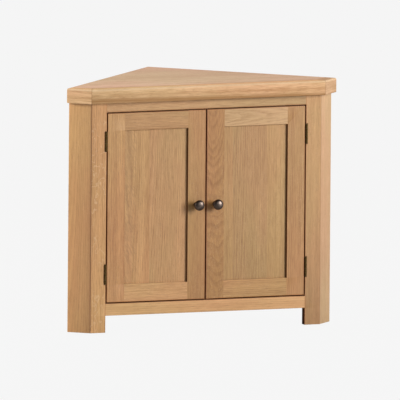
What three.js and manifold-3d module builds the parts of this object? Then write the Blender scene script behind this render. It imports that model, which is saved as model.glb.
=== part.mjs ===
import * as THREE from 'three';
import { mergeVertices } from 'three/addons/utils/BufferGeometryUtils.js';
import Module from 'manifold-3d';

const wasm = await Module();
wasm.setup();

// Corner cupboard in millimetres: X runs along the front, Y back into the corner, Z up from the floor.
// While it is made, the front face is the plane Y = 0. At the end it is centred over its own plan.
// Its plan has five sides: the front, an angled return at each end, and two walls that meet square.

// Carcass
const cupboardHeight = 780;       // floor to the top surface
const faceWidth = 785;            // front face, from corner to corner
const returnWidth = 79;           // angled return board, across its outer face
const frameThickness = 22;        // stiles, returns and rails
const stileWidth = 52;            // front face of each post
const footHeight = 54;            // floor to the underside of the bottom rail
const bottomRailHeight = 39;
const topRailHeight = 30;
const railTenonLength = 14;
const railTenonThickness = 8;
const railTenonShoulder = 6;      // tenon edge to rail edge, above and below

// Top slab
const slabThickness = 46;         // full depth of its edge
const topBoardThickness = 25;     // the board inside the edging
const slabOverhang = 17;          // past the front face and the returns
const edgingWidth = 40;
const slabTopArris = 5;           // radius along the upper edge
const slabLowerArris = 2.5;       // radius along the lower edge

// Back and inside
const backPanelThickness = 9;
const backPanelLap = 10;          // how far a back panel reaches into the rebate at each end
const rearPostSize = 45;
const baseThickness = 18;
const shelfThickness = 18;
const shelfSetback = 25;          // shelf front edge behind the frame
const shelfPlay = 1.5;            // loose fit of the shelf all round
const lowerSpaceHeight = 302;     // base board to shelf
const cleatSize = 18;             // square battens under the base and the top
const cleatEndSpace = 12;         // batten end to the next board
const stopBattenThickness = 18;   // batten behind the top rail
const stopBattenDrop = 14;        // how far it hangs below the rail, as the door stop
const stopBattenLap = 30;         // how far it runs behind each stile

// Shelf pins
const pinStemRadius = 2.5;
const pinStemDepth = 10;
const pinPaddleReach = 10;
const pinPaddleWidth = 9;
const pinPaddleThickness = 3;
const frontPinFromPanel = 13;     // front pin's centre from the back panel

// Doors
const doorThickness = 21;
const doorGap = 3;                // between a door and the frame
const meetingGap = 4;             // between the two doors
const doorStileWidth = 60;
const doorRailWidth = 57;
const panelThickness = 6.5;
const panelRecess = 7.5;          // door face back to panel face
const grooveWidth = 7;
const grooveDepth = 9;
const panelPlay = 1;              // panel edge to the bottom of its groove

// Hinges
const hingeInset = 93;            // opening's end to the hinge's centre
const leafHeight = 58;
const leafThickness = 1.5;
const leafDepth = 18;             // front face back to the leaf's rear edge
const leafSink = 1.2;             // frame leaf let into the stile's edge
const barrelRadius = 4;
const barrelInset = 1.75;         // pin axis past the opening's edge, over the stile
const barrelProud = 1;            // pin axis in front of the face
const knuckleCount = 5;
const knuckleGap = 0.4;
const hingePinRadius = 1.7;
const hingeTipRadius = 3.4;
const hingeTipHeight = 3;

// Knobs
const knobRadius = 17;
const knobReach = 35;             // door face to the crown of the knob
const knobFootRadius = 9;
const knobNeckRadius = 6.5;
const knobBoreDepth = 13;
const screwRadius = 2;
const screwHeadRadius = 4.5;
const screwHeadHeight = 2.4;
const screwGrip = 11;             // thread inside the knob

// Magnetic catches
const catchWidth = 34;
const catchDepth = 14;
const catchHeight = 13;
const catchLugLength = 9;
const catchLugThickness = 3;
const strikeWidth = 30;
const strikeHeight = 11;
const strikeThickness = 0.8;

// Clearances
const fitGap = 0.3;               // between pieces that are fitted together
const overrun = 5;                // how far a cutting shape runs past what it cuts

// Fineness of round work, in steps
const turnedSteps = 24;
const smallTurnedSteps = 16;
const arrisSteps = 4;

// Looks
const faceOak = { color: 0xbd9468, roughness: 0.5, metalness: 0 };
const topOak = { color: 0xccac8e, roughness: 0.45, metalness: 0 };
const panelOak = { color: 0xb8946a, roughness: 0.55, metalness: 0 };
const insideOak = { color: 0xc2a079, roughness: 0.65, metalness: 0 };
const darkBronze = { color: 0x3b2f26, roughness: 0.38, metalness: 0.9 };
const zincSteel = { color: 0xb4b6b8, roughness: 0.35, metalness: 0.9 };
const brownPlastic = { color: 0x4a3526, roughness: 0.5, metalness: 0 };

// Worked out from the sizes above
const diagonal = Math.SQRT1_2;
const mitreShare = Math.tan(Math.PI / 8);
const halfFace = faceWidth / 2;
const openingHalf = halfFace - stileWidth;
const wallHalf = halfFace + returnWidth * diagonal;
const cornerY = returnWidth * diagonal + wallHalf;
const wallLength = wallHalf / diagonal;
const returnInner = wallLength - frameThickness;
const slabBottom = cupboardHeight - slabThickness;
const boardBottom = cupboardHeight - topBoardThickness;
const openingLow = footHeight + bottomRailHeight;
const openingHigh = slabBottom - topRailHeight;
const stopBattenLow = openingHigh - stopBattenDrop;
const baseLow = openingLow - baseThickness;
const shelfLow = openingLow + lowerSpaceHeight;
const doorLow = openingLow + doorGap;
const doorHigh = openingHigh - doorGap;
const doorWidth = openingHalf - doorGap - meetingGap / 2;
const hingeAxisX = openingHalf + barrelInset;
const hingeAxisY = -barrelProud;
const hingeHeights = { lower: openingLow + hingeInset, upper: openingHigh - hingeInset };
const boreRadius = hingePinRadius + fitGap;
const screwHoleRadius = screwRadius + fitGap;

// Door frame sizes, measured from the hinge axis
const doorFront = barrelProud;
const doorBack = doorFront + doorThickness;
const hingeEdge = barrelInset + doorGap;
const freeEdge = hingeEdge + doorWidth;
const hingeStileInner = hingeEdge + doorStileWidth;
const meetingStileInner = freeEdge - doorStileWidth;
const knobX = freeEdge - doorStileWidth / 2;
const knobZ = (doorLow + doorHigh) / 2;
const grooveFront = doorFront + panelRecess;
const grooveBack = grooveFront + grooveWidth;

const sides = [
  { name: 'left', sign: -1 },
  { name: 'right', sign: 1 },
];

// Shapes

// A block between two opposite corners, in any order.
function block(cornerA, cornerB) {
  const a = new THREE.Vector3(...cornerA);
  const b = new THREE.Vector3(...cornerB);
  const size = new THREE.Vector3().subVectors(b, a);
  size.set(Math.abs(size.x), Math.abs(size.y), Math.abs(size.z));
  const middle = new THREE.Vector3().addVectors(a, b).divideScalar(2);
  const shape = new THREE.BoxGeometry(1, 1, 1);
  return shape.applyMatrix4(new THREE.Matrix4().compose(middle, new THREE.Quaternion(), size));
}

// An upright prism over a plan outline.
function prism(outline, low, high) {
  const shape = new THREE.ExtrudeGeometry(new THREE.Shape(outline), { depth: 1, bevelEnabled: false });
  const size = new THREE.Vector3(1, 1, high - low);
  return shape.applyMatrix4(new THREE.Matrix4().compose(new THREE.Vector3(0, 0, low), new THREE.Quaternion(), size));
}

// A turned shape: the profile's points are radius and height, and the axis is Y.
function turned(profile, steps) {
  return new THREE.LatheGeometry(profile.map(([radius, height]) => new THREE.Vector2(radius, height)), steps);
}

// A round rod along Z, from one height to another.
function uprightRod(radius, low, high, steps) {
  const rod = turned([[0, low], [radius, low], [radius, high], [0, high]], steps);
  return rod.rotateX(Math.PI / 2);
}

// A round rod along X, from one place to another.
function levelRod(radius, from, to, steps) {
  const rod = turned([[0, from], [radius, from], [radius, to], [0, to]], steps);
  return rod.rotateZ(-Math.PI / 2);
}

// A closed solid for cutting and joining: corners are merged and flat slivers are dropped.
function toSolid(shape) {
  const bare = shape.clone();
  bare.deleteAttribute('normal');
  bare.deleteAttribute('uv');
  const merged = mergeVertices(bare);
  const corners = merged.index.array;
  const triangles = [];
  for (let i = 0; i < corners.length; i += 3) {
    const [a, b, c] = corners.slice(i, i + 3);
    if (a !== b && b !== c && c !== a) triangles.push(a, b, c);
  }
  const vertProperties = merged.attributes.position.array;
  return new wasm.Manifold(new wasm.Mesh({ numProp: 3, vertProperties, triVerts: new Uint32Array(triangles) }));
}

function toShape(solid) {
  const { vertProperties, triVerts } = solid.getMesh();
  const shape = new THREE.BufferGeometry();
  shape.setAttribute('position', new THREE.BufferAttribute(vertProperties, 3));
  shape.setIndex(new THREE.BufferAttribute(triVerts, 1));
  shape.computeVertexNormals();
  return shape;
}

function cut(shape, ...tools) {
  return toShape(tools.reduce((solid, tool) => solid.subtract(toSolid(tool)), toSolid(shape)));
}

function join(shape, ...others) {
  return toShape(others.reduce((solid, other) => solid.add(toSolid(other)), toSolid(shape)));
}

function common(shape, other) {
  return toShape(toSolid(shape).intersect(toSolid(other)));
}

function addPiece(group, name, shape, look) {
  const piece = new THREE.Mesh(shape, new THREE.MeshStandardMaterial(look));
  piece.name = name;
  group.add(piece);
  return piece;
}

// Plan points

// A point beside a wall: along is measured from the back corner, inward from the wall's plane.
function wallPoint(sign, along, inward) {
  return new THREE.Vector2(sign * (along - inward) * diagonal, cornerY - (along + inward) * diagonal);
}

// How far inward a line that runs off from the wall, at one place along it, meets a plane of the front.
function inwardAt(along, frontY) {
  return (cornerY - frontY) / diagonal - along;
}

// A board that runs along a wall, given by its ends and by its two faces.
function wallBoard(sign, alongA, alongB, inwardA, inwardB) {
  return [
    wallPoint(sign, alongA, inwardA),
    wallPoint(sign, alongB, inwardA),
    wallPoint(sign, alongB, inwardB),
    wallPoint(sign, alongA, inwardB),
  ];
}

// The corner between the front and a return, for a line set back from both faces by one depth.
function faceCorner(sign, depth) {
  return new THREE.Vector2(sign * (halfFace - depth * mitreShare), depth);
}

// A point moved along a return, away from the front.
function slideAlongReturn(point, sign, distance) {
  return new THREE.Vector2(point.x + sign * distance * diagonal, point.y + distance * diagonal);
}

// The outline of a board that fills the inside of the carcass and goes round the rear post.
function insideOutline(frontY, gap) {
  const end = returnInner - gap;
  const half = (sign) => [
    wallPoint(sign, end, inwardAt(end, frontY)),
    wallPoint(sign, end, backPanelThickness + gap),
    wallPoint(sign, rearPostSize + gap, backPanelThickness + gap),
  ];
  return [...half(1), wallPoint(1, rearPostSize + gap, rearPostSize + gap), ...half(-1).reverse()];
}

// Carcass

// The pocket that a hinge's barrel and frame leaf need in the edge of a stile.
function hingePocket(sign, height) {
  const reach = leafHeight / 2 + hingeTipHeight + 2 * fitGap;
  const leafReach = leafHeight / 2 + fitGap;
  const edge = openingHalf - overrun;
  const barrelX = hingeAxisX + barrelRadius + fitGap;
  const barrelY = hingeAxisY + barrelRadius + fitGap;
  const leafX = openingHalf + leafSink + fitGap;
  return join(
    block([sign * edge, -overrun, height - reach], [sign * barrelX, barrelY, height + reach]),
    block([sign * edge, -overrun, height - leafReach], [sign * leafX, leafDepth + fitGap, height + leafReach]),
  );
}

// A front stile: the face of a post, mitred to its return, with mortises for the two rails.
function frontStile(sign) {
  const inner = sign * openingHalf;
  const outline = [
    new THREE.Vector2(inner, 0),
    faceCorner(sign, 0),
    faceCorner(sign, frameThickness),
    new THREE.Vector2(inner, frameThickness),
  ];
  const mortises = railHeights().map(([low, high]) => {
    const [front, back] = tenonFaces();
    const bottom = openingHalf + railTenonLength + fitGap;
    return block(
      [sign * (openingHalf - overrun), front - fitGap, low + railTenonShoulder - fitGap],
      [sign * bottom, back + fitGap, high - railTenonShoulder + fitGap],
    );
  });
  const pockets = Object.values(hingeHeights).map((height) => hingePocket(sign, height));
  return cut(prism(outline, 0, slabBottom), ...mortises, ...pockets);
}

function railHeights() {
  return [[footHeight, openingLow], [openingHigh, slabBottom]];
}

function tenonFaces() {
  const front = (frameThickness - railTenonThickness) / 2;
  return [front, front + railTenonThickness];
}

// A carcass rail between the stiles, with a stub tenon at each end.
function carcassRail(low, high) {
  const [front, back] = tenonFaces();
  const reach = openingHalf + railTenonLength;
  return join(
    block([-openingHalf, 0, low], [openingHalf, frameThickness, high]),
    block([-reach, front, low + railTenonShoulder], [reach, back, high - railTenonShoulder]),
  );
}

// A return: the angled side of a post, with a rebate for the back panel and a hole for a shelf pin.
function returnBoard(sign) {
  const rebateEnd = returnInner + backPanelLap;
  const rebateFace = backPanelThickness + fitGap;
  const outline = [
    slideAlongReturn(faceCorner(sign, 0), sign, fitGap),
    wallPoint(sign, wallLength, 0),
    wallPoint(sign, rebateEnd, 0),
    wallPoint(sign, rebateEnd, rebateFace),
    wallPoint(sign, returnInner, rebateFace),
    slideAlongReturn(faceCorner(sign, frameThickness), sign, fitGap),
  ];
  return cut(prism(outline, 0, slabBottom), pinHole(frontPinPlace(sign)));
}

// The rear post: square to both walls, rebated for both back panels, and the third foot.
function rearPost() {
  const rebateStart = rearPostSize - backPanelLap;
  const rebateFace = backPanelThickness + fitGap;
  const outline = [
    wallPoint(1, 0, 0),
    wallPoint(1, rebateStart, 0),
    wallPoint(1, rebateStart, rebateFace),
    wallPoint(1, rearPostSize, rebateFace),
    wallPoint(1, rearPostSize, rearPostSize),
    wallPoint(-1, rearPostSize, rebateFace),
    wallPoint(-1, rebateStart, rebateFace),
    wallPoint(-1, rebateStart, 0),
  ];
  return cut(prism(outline, 0, slabBottom), ...sides.map((side) => pinHole(rearPinPlace(side.sign))));
}

function buildFrame(carcass) {
  for (const { name, sign } of sides) {
    addPiece(carcass, `${name}_front_stile`, frontStile(sign), faceOak);
    addPiece(carcass, `${name}_return_board`, returnBoard(sign), faceOak);
    const panelStart = rearPostSize - backPanelLap + fitGap;
    const panelEnd = returnInner + backPanelLap - fitGap;
    const panel = wallBoard(sign, panelStart, panelEnd, 0, backPanelThickness);
    addPiece(carcass, `${name}_back_panel`, prism(panel, footHeight, slabBottom), insideOak);
  }
  const [bottomRail, topRail] = railHeights();
  addPiece(carcass, 'bottom_rail', carcassRail(...bottomRail), faceOak);
  addPiece(carcass, 'top_rail', carcassRail(...topRail), faceOak);
  addPiece(carcass, 'rear_post', rearPost(), insideOak);
}

// Battens that the base board and the slab are fixed to. The one behind the top rail stops the doors.
function buildBattens(carcass) {
  const near = backPanelThickness + fitGap;
  const start = rearPostSize + cleatEndSpace;
  const end = returnInner - cleatEndSpace;
  for (const { name, sign } of sides) {
    const batten = wallBoard(sign, start, end, near, near + cleatSize);
    addPiece(carcass, `${name}_base_batten`, prism(batten, baseLow - cleatSize, baseLow), insideOak);
    addPiece(carcass, `${name}_top_batten`, prism(batten, slabBottom - cleatSize, slabBottom), insideOak);
  }
  const back = frameThickness + cleatSize;
  const frontLow = [-openingHalf, frameThickness, baseLow - cleatSize];
  addPiece(carcass, 'front_base_batten', block(frontLow, [openingHalf, back, baseLow]), insideOak);
  const stopHalf = openingHalf + stopBattenLap;
  const stopLow = [-stopHalf, frameThickness, stopBattenLow];
  const stopHigh = [stopHalf, frameThickness + stopBattenThickness, slabBottom];
  addPiece(carcass, 'door_stop_batten', block(stopLow, stopHigh), insideOak);
}

// Top slab

// The corner points of the slab's edging: on its outer edge, or set in by the edging's width.
function slabCorners(sign, depth) {
  const front = faceCorner(sign, depth - slabOverhang);
  const wall = wallPoint(sign, wallLength + slabOverhang - depth, 0);
  return { front, wall };
}

// The edging's section: depth behind the edge and height, with a radius on both outer corners.
function edgingSection() {
  const round = (radius, centreHeight, from) => {
    const points = [];
    for (let step = 0; step <= arrisSteps; step += 1) {
      const angle = from + (step / arrisSteps) * (Math.PI / 2);
      points.push(new THREE.Vector2(radius + radius * Math.cos(angle), centreHeight + radius * Math.sin(angle)));
    }
    return points;
  };
  return [
    new THREE.Vector2(edgingWidth, cupboardHeight),
    ...round(slabTopArris, cupboardHeight - slabTopArris, Math.PI / 2),
    ...round(slabLowerArris, slabBottom + slabLowerArris, Math.PI),
    new THREE.Vector2(edgingWidth, slabBottom),
  ];
}

// A strip of edging that runs through two outer corners of the slab, cut to its plan outline.
function edgingStrip(start, end, outline) {
  const length = start.distanceTo(end) + 2 * overrun;
  const direction = new THREE.Vector2().subVectors(end, start).normalize();
  const origin = start.clone().addScaledVector(direction, -overrun);
  const strip = new THREE.ExtrudeGeometry(new THREE.Shape(edgingSection()), { depth: length, bevelEnabled: false });
  const along = new THREE.Vector3(direction.x, direction.y, 0);
  const inward = new THREE.Vector3(-direction.y, direction.x, 0);
  const up = new THREE.Vector3(0, 0, 1);
  strip.applyMatrix4(new THREE.Matrix4().makeBasis(inward, up, along).setPosition(origin.x, origin.y, 0));
  return common(strip, prism(outline, slabBottom - overrun, cupboardHeight + overrun));
}

function buildSlab(carcass) {
  const [left, right] = sides.map((side) => ({
    outer: slabCorners(side.sign, 0),
    inner: slabCorners(side.sign, edgingWidth),
  }));
  const boardEnd = wallLength + slabOverhang - edgingWidth - fitGap;
  const frontOutline = [left.outer.front, right.outer.front, right.inner.front, left.inner.front];
  const frontStrip = edgingStrip(left.outer.front, right.outer.front, frontOutline);
  addPiece(carcass, 'top_front_edging', frontStrip, faceOak);
  for (const { name, sign } of sides) {
    const { outer, inner } = sign < 0 ? left : right;
    const outline = [
      slideAlongReturn(outer.front, sign, fitGap),
      outer.wall,
      inner.wall,
      slideAlongReturn(inner.front, sign, fitGap),
    ];
    const ends = sign < 0 ? [outer.wall, outer.front] : [outer.front, outer.wall];
    addPiece(carcass, `top_${name}_edging`, edgingStrip(...ends, outline), faceOak);
    const packer = [
      wallPoint(sign, 0, 0),
      wallPoint(sign, boardEnd, 0),
      wallPoint(sign, boardEnd, rearPostSize),
      wallPoint(sign, rearPostSize, rearPostSize),
    ];
    addPiece(carcass, `top_${name}_packer`, prism(packer, slabBottom, boardBottom), insideOak);
  }
  const board = [
    slideAlongReturn(left.inner.front, 1, fitGap / diagonal),
    slideAlongReturn(right.inner.front, -1, fitGap / diagonal),
    wallPoint(1, boardEnd, 0),
    wallPoint(1, 0, 0),
    wallPoint(-1, boardEnd, 0),
  ];
  addPiece(carcass, 'top_board', prism(board, boardBottom, cupboardHeight), topOak);
}

// Inside boards and shelf pins

// A shelf pin stands in a wooden face: its place is the point on the face and the way it points.
function frontPinPlace(sign) {
  const point = wallPoint(sign, returnInner, backPanelThickness + frontPinFromPanel);
  return { point, turn: sign > 0 ? Math.PI * 0.75 : Math.PI * 0.25 };
}

function rearPinPlace(sign) {
  const point = wallPoint(sign, rearPostSize, (backPanelThickness + rearPostSize) / 2);
  return { point, turn: sign > 0 ? -Math.PI * 0.25 : -Math.PI * 0.75 };
}

function pinAxisHeight() {
  return shelfLow - fitGap - pinStemRadius;
}

function pinHole({ point, turn }) {
  const hole = levelRod(pinStemRadius + fitGap, -pinStemDepth - fitGap, overrun, smallTurnedSteps);
  return hole.rotateZ(turn).translate(point.x, point.y, pinAxisHeight());
}

function shelfPin() {
  const half = pinPaddleWidth / 2;
  return join(
    levelRod(pinStemRadius, -pinStemDepth, pinPaddleReach / 2, smallTurnedSteps),
    block([fitGap, -half, pinStemRadius - pinPaddleThickness], [pinPaddleReach, half, pinStemRadius]),
  );
}

function buildInside(carcass) {
  const base = insideOutline(frameThickness, fitGap);
  addPiece(carcass, 'base_board', prism(base, baseLow, openingLow), insideOak);
  const shelf = insideOutline(frameThickness + shelfSetback, shelfPlay);
  addPiece(carcass, 'shelf', prism(shelf, shelfLow, shelfLow + shelfThickness), insideOak);
  for (const { name, sign } of sides) {
    const places = { front: frontPinPlace(sign), rear: rearPinPlace(sign) };
    for (const [end, { point, turn }] of Object.entries(places)) {
      const pin = addPiece(carcass, `${name}_${end}_shelf_pin`, shelfPin(), zincSteel);
      pin.position.set(point.x, point.y, pinAxisHeight());
      pin.rotation.z = turn;
    }
  }
}

// Hinges

// Ends of each knuckle, from the hinge's middle.
function knuckles() {
  const length = (leafHeight - (knuckleCount - 1) * knuckleGap) / knuckleCount;
  return Array.from({ length: knuckleCount }, (_, index) => {
    const low = -leafHeight / 2 + index * (length + knuckleGap);
    return [low, low + length];
  });
}

// One leaf with its knuckles. Facing is the side that the door lies on, and first picks the knuckles.
function hingeLeaf(facing, near, far, first) {
  const clear = barrelRadius + knuckleGap;
  const back = leafDepth + barrelProud;
  const plate = block([facing * near, clear, -leafHeight / 2], [facing * far, back, leafHeight / 2]);
  const own = knuckles().filter((_, index) => index % 2 === first);
  const parts = own.flatMap(([low, high]) => [
    uprightRod(barrelRadius, low, high, turnedSteps),
    block([facing * near, 0, low], [facing * far, back, high]),
  ]);
  const bore = uprightRod(boreRadius, -leafHeight, leafHeight, smallTurnedSteps);
  return cut(join(plate, ...parts), bore);
}

function frameLeaf(facing) {
  const near = barrelInset - leafSink;
  return hingeLeaf(facing, near, near + leafThickness, 0);
}

function doorLeaf(facing) {
  const far = hingeEdge - fitGap;
  return hingeLeaf(facing, far - leafThickness, far, 1);
}

// A hinge pin with a rounded tip above and below the barrel.
function hingePin() {
  const end = leafHeight / 2 + fitGap;
  const tip = end + hingeTipHeight - fitGap;
  const shoulder = hingeTipRadius * Math.SQRT1_2;
  const bend = end + hingeTipHeight * Math.SQRT1_2;
  const profile = [
    [0, -tip],
    [shoulder, -bend],
    [hingeTipRadius, -end],
    [hingePinRadius, -end],
    [hingePinRadius, end],
    [hingeTipRadius, end],
    [shoulder, bend],
    [0, tip],
  ];
  return turned(profile, smallTurnedSteps).rotateX(Math.PI / 2);
}

function buildFrameHinges(carcass) {
  for (const { name, sign } of sides) {
    for (const [level, height] of Object.entries(hingeHeights)) {
      const hinge = new THREE.Group();
      hinge.position.set(sign * hingeAxisX, hingeAxisY, height);
      addPiece(hinge, `${name}_${level}_hinge_frame_leaf`, frameLeaf(-sign), darkBronze);
      addPiece(hinge, `${name}_${level}_hinge_pin`, hingePin(), darkBronze);
      carcass.add(hinge);
    }
  }
}

// Catches

// A magnetic catch with a fixing lug at each end, screwed up under the stop batten.
function magneticCatch() {
  const half = catchWidth / 2;
  const lug = half + catchLugLength;
  const lugHole = half + catchLugLength / 2;
  const holes = sides.map(({ sign }) => {
    const hole = uprightRod(screwHoleRadius, -catchHeight, overrun, smallTurnedSteps);
    return hole.translate(sign * lugHole, catchDepth / 2, 0);
  });
  const body = join(
    block([-half, 0, -catchHeight], [half, catchDepth, 0]),
    block([-lug, 0, -catchLugThickness], [lug, catchDepth, 0]),
  );
  return cut(body, ...holes);
}

function buildCatches(carcass) {
  for (const { name, sign } of sides) {
    const piece = addPiece(carcass, `${name}_magnetic_catch`, magneticCatch(), brownPlastic);
    const front = doorThickness + strikeThickness + fitGap;
    piece.position.set(sign * (hingeAxisX - knobX), front, stopBattenLow);
  }
}

// Doors. Each is made about its hinge axis, and facing is the side of that axis that it lies on.

function doorStile(facing, outer, inner, tools) {
  const bottom = inner + Math.sign(outer - inner) * grooveDepth;
  const past = inner - Math.sign(outer - inner) * overrun;
  const groove = block(
    [facing * bottom, grooveFront, doorLow - overrun],
    [facing * past, grooveBack, doorHigh + overrun],
  );
  const board = block([facing * outer, doorFront, doorLow], [facing * inner, doorBack, doorHigh]);
  return cut(board, groove, ...tools);
}

// A door rail, with a groove for the panel and a tongue at each end for the stiles' grooves.
function doorRail(facing, outer, inner) {
  const bottom = inner + Math.sign(outer - inner) * grooveDepth;
  const past = inner - Math.sign(outer - inner) * overrun;
  const tongue = grooveDepth - fitGap;
  const board = block([facing * hingeStileInner, doorFront, outer], [facing * meetingStileInner, doorBack, inner]);
  const tongues = block(
    [facing * (hingeStileInner - tongue), grooveFront, outer],
    [facing * (meetingStileInner + tongue), grooveBack, bottom],
  );
  const groove = block(
    [facing * (hingeStileInner - overrun), grooveFront, bottom],
    [facing * (meetingStileInner + overrun), grooveBack, past],
  );
  return cut(join(board, tongues), groove);
}

function doorPanel(facing) {
  const reach = grooveDepth - panelPlay;
  return block(
    [facing * (hingeStileInner - reach), grooveFront, doorLow + doorRailWidth - reach],
    [facing * (meetingStileInner + reach), grooveFront + panelThickness, doorHigh - doorRailWidth + reach],
  );
}

// A turned knob: a spreading foot, a slim neck and a domed head, bored for its screw.
function knob() {
  const headShares = [[0.62, 0.44], [0.9, 0.56], [1, 0.68], [0.97, 0.79], [0.82, 0.9], [0.5, 0.975]];
  const profile = [
    [0, knobBoreDepth],
    [screwHoleRadius, knobBoreDepth],
    [screwHoleRadius, 0],
    [knobFootRadius, 0],
    [knobFootRadius, screwHeadHeight],
    [knobNeckRadius, screwHeadHeight * 2],
    ...headShares.map(([radiusShare, heightShare]) => [knobRadius * radiusShare, knobReach * heightShare]),
    [0, knobReach],
  ];
  return turned(profile, turnedSteps).rotateX(Math.PI);
}

// The screw from the back of the door into the knob.
function knobScrew() {
  const profile = [
    [0, -screwGrip],
    [screwRadius, -screwGrip],
    [screwRadius, doorThickness],
    [screwHeadRadius, doorThickness],
    [screwHeadRadius, doorThickness + screwHeadHeight / 2],
    [screwHeadRadius / 2, doorThickness + screwHeadHeight],
    [0, doorThickness + screwHeadHeight],
  ];
  return turned(profile, smallTurnedSteps);
}

function buildDoor(name, sign) {
  const facing = -sign;
  const door = new THREE.Group();
  door.position.set(sign * hingeAxisX, hingeAxisY, 0);

  const screwHole = levelRod(screwHoleRadius, -overrun, doorBack + overrun, smallTurnedSteps);
  screwHole.rotateZ(Math.PI / 2).translate(facing * knobX, 0, knobZ);
  const hingeStile = doorStile(facing, hingeEdge, hingeStileInner, []);
  const meetingStile = doorStile(facing, freeEdge, meetingStileInner, [screwHole]);
  addPiece(door, `${name}_door_hinge_stile`, hingeStile, faceOak);
  addPiece(door, `${name}_door_meeting_stile`, meetingStile, faceOak);
  addPiece(door, `${name}_door_bottom_rail`, doorRail(facing, doorLow, doorLow + doorRailWidth), faceOak);
  addPiece(door, `${name}_door_top_rail`, doorRail(facing, doorHigh, doorHigh - doorRailWidth), faceOak);
  addPiece(door, `${name}_door_panel`, doorPanel(facing), panelOak);

  const knobPiece = addPiece(door, `${name}_knob`, knob(), darkBronze);
  knobPiece.position.set(facing * knobX, doorFront, knobZ);
  const screw = addPiece(door, `${name}_knob_screw`, knobScrew(), zincSteel);
  screw.position.set(facing * knobX, doorFront, knobZ);

  const strikeLow = stopBattenLow - (catchHeight + strikeHeight) / 2;
  const strike = block(
    [-strikeWidth / 2, doorBack, strikeLow],
    [strikeWidth / 2, doorBack + strikeThickness, strikeLow + strikeHeight],
  );
  addPiece(door, `${name}_strike_plate`, strike, zincSteel).position.x = facing * knobX;

  for (const [level, height] of Object.entries(hingeHeights)) {
    const leaf = addPiece(door, `${name}_${level}_hinge_door_leaf`, doorLeaf(facing), darkBronze);
    leaf.position.z = height;
  }
  return door;
}

// The whole cupboard

const cupboard = new THREE.Group();
const carcass = new THREE.Group();
buildSlab(carcass);
buildFrame(carcass);
buildBattens(carcass);
buildInside(carcass);
buildFrameHinges(carcass);
buildCatches(carcass);
cupboard.add(carcass);
for (const { name, sign } of sides) cupboard.add(buildDoor(name, sign));

// Centred over its plan, from the crown of the knobs to the back corner.
cupboard.position.y = (knobReach - cornerY) / 2;

export default cupboard;
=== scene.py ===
import math

import bpy
import bmesh
import numpy as np
from mathutils import Euler, Matrix, Vector


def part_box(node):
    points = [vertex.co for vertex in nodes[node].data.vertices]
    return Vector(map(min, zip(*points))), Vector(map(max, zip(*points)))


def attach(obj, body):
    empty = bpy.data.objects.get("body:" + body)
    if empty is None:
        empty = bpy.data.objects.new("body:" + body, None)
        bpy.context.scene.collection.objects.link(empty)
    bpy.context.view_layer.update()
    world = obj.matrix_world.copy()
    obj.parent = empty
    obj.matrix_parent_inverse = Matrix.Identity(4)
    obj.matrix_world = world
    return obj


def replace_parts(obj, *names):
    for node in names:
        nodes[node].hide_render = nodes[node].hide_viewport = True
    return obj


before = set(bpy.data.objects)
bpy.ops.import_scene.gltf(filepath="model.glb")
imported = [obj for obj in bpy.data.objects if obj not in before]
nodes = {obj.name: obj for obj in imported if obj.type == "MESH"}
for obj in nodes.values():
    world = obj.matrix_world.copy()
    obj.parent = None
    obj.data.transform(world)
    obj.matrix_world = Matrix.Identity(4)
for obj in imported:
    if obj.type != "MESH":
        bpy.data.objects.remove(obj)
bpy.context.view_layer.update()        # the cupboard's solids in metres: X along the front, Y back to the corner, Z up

signs = {"left": -1, "right": 1}
levels = ("lower", "upper")
diagonal = math.sqrt(0.5)
touching = 2e-5          # places closer than this are the same place
sameWay = 0.999          # directions whose dot product is over this are the same
mostly = 0.9             # a direction with more than this of one axis runs along it
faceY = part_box("bottom_rail")[0].y
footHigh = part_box("bottom_rail")[0].z
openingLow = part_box("bottom_rail")[1].z
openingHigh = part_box("top_rail")[0].z
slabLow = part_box("top_rail")[1].z
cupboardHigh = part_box("top_board")[1].z
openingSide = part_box("right_front_stile")[0].x
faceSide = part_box("right_front_stile")[1].x
print("frame:", len(nodes), "nodes")


# Camera: a very long lens, from the left and a little above

cameraSetup = {
    "azimuthDeg": -21.842, "elevationDeg": 6.9, "rollDeg": 0.456,
    "metresAcross": 1.2696, "distance": 3.0, "clipEnd": 60,
    "aimRight": -0.01555, "aimUp": 0.40874,     # picture centre, from the foot of the front's middle line
}


# A direction, by its angle round the cupboard from straight in front and its angle above the floor
def compass(azimuthDeg, elevationDeg):
    azimuth, elevation = math.radians(azimuthDeg), math.radians(elevationDeg)
    return Vector((math.sin(azimuth) * math.cos(elevation), -math.cos(azimuth) * math.cos(elevation),
                   math.sin(elevation)))


def addObject(name, data):
    made = bpy.data.objects.new(name, data)
    bpy.context.scene.collection.objects.link(made)
    return made


def makeCamera(setup):
    azimuth, roll = math.radians(setup["azimuthDeg"]), math.radians(setup["rollDeg"])
    back = compass(setup["azimuthDeg"], setup["elevationDeg"])
    level = Vector((math.cos(azimuth), math.sin(azimuth), 0))
    upright = back.cross(level)
    right = level * math.cos(roll) + upright * math.sin(roll)
    up = upright * math.cos(roll) - level * math.sin(roll)
    lens = bpy.data.cameras.new("camera")
    lens.type = "ORTHO"
    lens.ortho_scale = setup["metresAcross"]
    lens.clip_end = setup["clipEnd"]
    camera = addObject("camera", lens)
    camera.matrix_world = Matrix((right, up, back)).transposed().to_4x4()
    camera.location = (Vector((0, faceY, 0)) + right * setup["aimRight"] + up * setup["aimUp"]
                       + back * setup["distance"])
    bpy.context.scene.camera = camera


makeCamera(cameraSetup)


# Shader building blocks

# Joins a node's inputs to other nodes' outputs, or gives them fixed values
def feed(node, sockets):
    for key, value in sockets.items():
        if isinstance(value, bpy.types.NodeSocket):
            node.id_data.links.new(value, node.inputs[key])
        else:
            node.inputs[key].default_value = value


# Adds a shader node and gives its outputs
def addNode(tree, kind, sockets=None, **settings):
    made = tree.nodes.new("ShaderNode" + kind)
    for key, value in settings.items():
        setattr(made, key, value)
    feed(made, sockets or {})
    return made.outputs


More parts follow.
